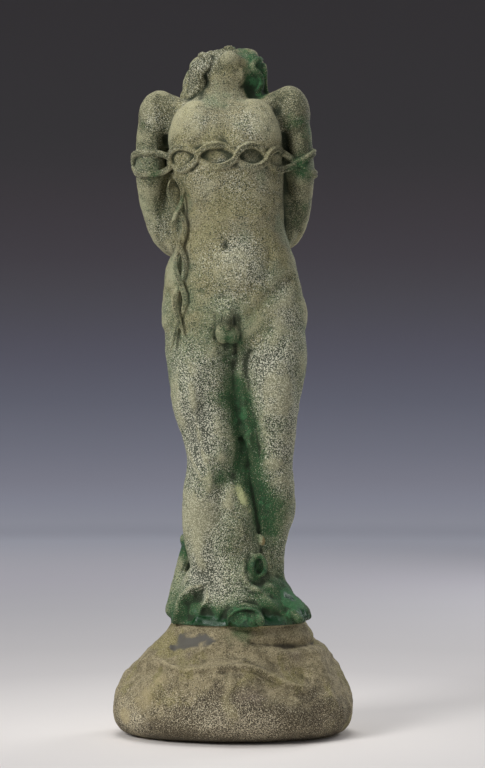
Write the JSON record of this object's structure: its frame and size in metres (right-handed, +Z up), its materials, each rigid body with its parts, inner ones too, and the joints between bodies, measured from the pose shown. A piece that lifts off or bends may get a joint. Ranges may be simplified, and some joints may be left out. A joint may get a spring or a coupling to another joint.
{
  "type": "glass figure sculpture",
  "caption": "Standing nude male figure of cast glass, arms bound behind the back and head thrown back, against a tree trunk on a rounded boulder base.",
  "frame": {"origin": "on the table, under the middle of the boulder", "axes": "+Z up, the figure faces -Y, +X to the right of a viewer who faces it"},
  "size_m": [0.206, 0.168, 0.5947],
  "materials": {
    "figure_glass": "emerald glass under a matt grey-green weathered crust",
    "boulder_glass": "dark glass under a matt olive-brown weathered crust"
  },
  "bodies": {
    "root": {"figure": "figure_glass", "boulder": "boulder_glass"}
  },
  "joints": []
}
